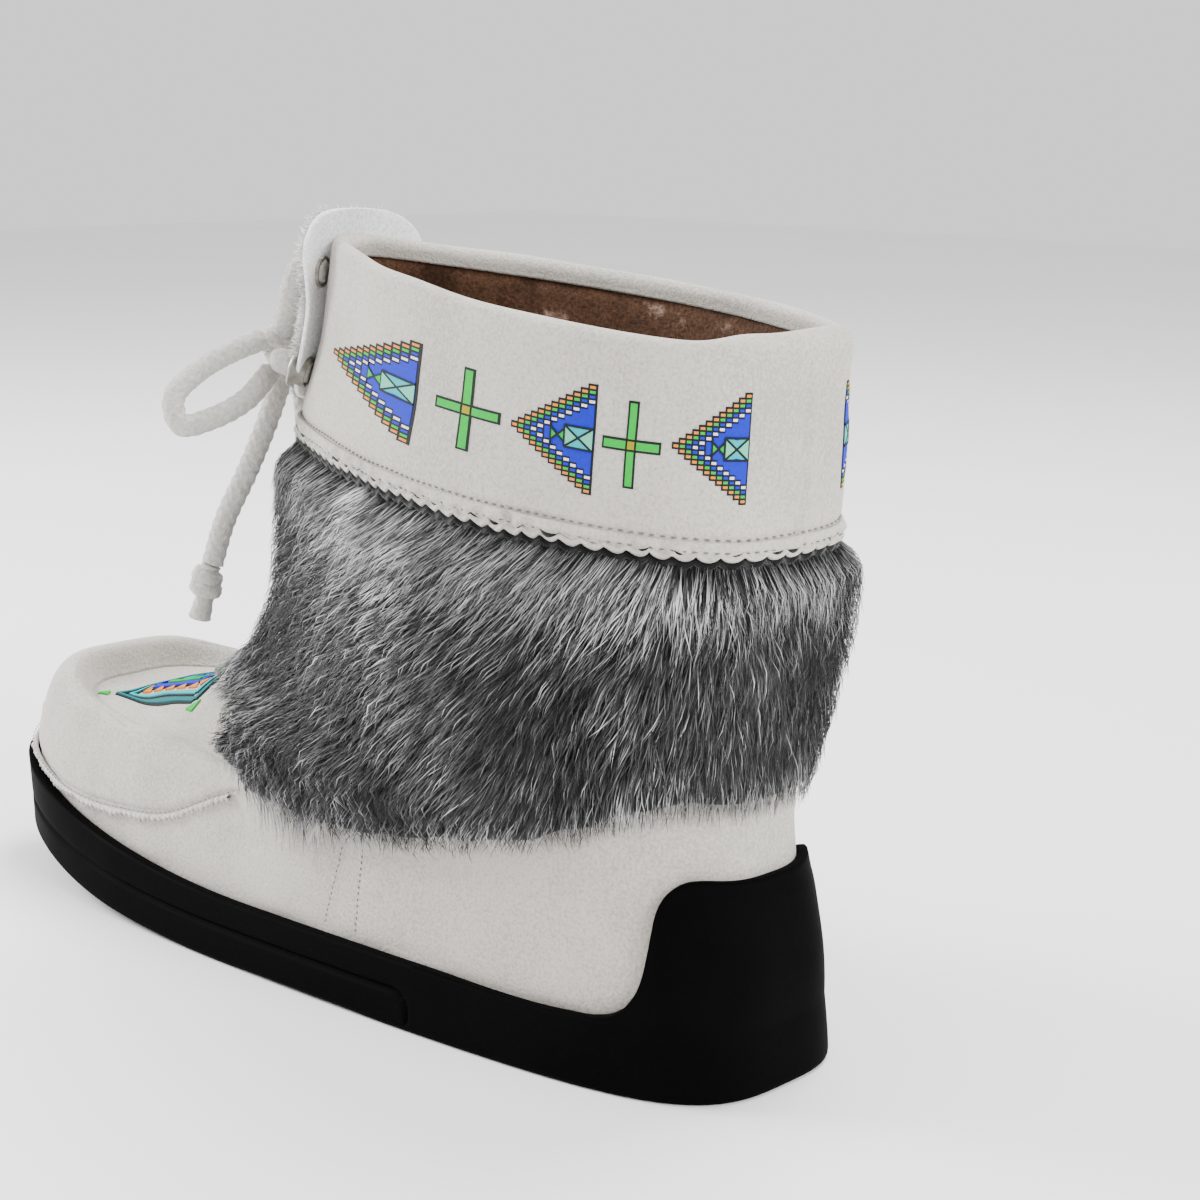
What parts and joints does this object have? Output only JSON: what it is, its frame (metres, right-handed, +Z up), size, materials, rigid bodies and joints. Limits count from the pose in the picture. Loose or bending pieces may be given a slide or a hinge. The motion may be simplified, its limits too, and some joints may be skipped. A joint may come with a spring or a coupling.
{
  "type": "mukluk boot",
  "caption": "Left ankle mukluk boot: pale suede foot with a puffed toe roll, shaggy fur band, tall cuff, tongue with a tied lace, black cup sole.",
  "frame": {"origin": "middle of the base, on the ground under the boot", "axes": "+X towards the toe, +Y towards the wearer's left (outer side), +Z up"},
  "size_m": [0.283, 0.1022, 0.1938],
  "materials": {
    "rubber": "matt moulded rubber",
    "felt": "brushed pile over foam",
    "suede": "brushed pale suede",
    "fur": "long grey pile",
    "eyelet_metal": "dull nickel",
    "braid": "round braid, off-white"
  },
  "bodies": {
    "root": {"sole": "rubber", "forefoot_tread": "rubber", "insole": "felt", "upper": "suede", "cuff": "suede", "tongue": "suede", "fur_band": "fur", "eyelet_upper_outer": "eyelet_metal", "eyelet_upper_inner": "eyelet_metal", "eyelet_lower_outer": "eyelet_metal", "eyelet_lower_inner": "eyelet_metal", "lace_bar": "braid", "lace_knot": "braid", "lace_loop_outer": "braid", "lace_loop_inner": "braid", "lace_end_outer": "braid", "lace_end_inner": "braid", "lace_end_knot_outer": "braid", "lace_end_knot_inner": "braid"}
  },
  "joints": []
}
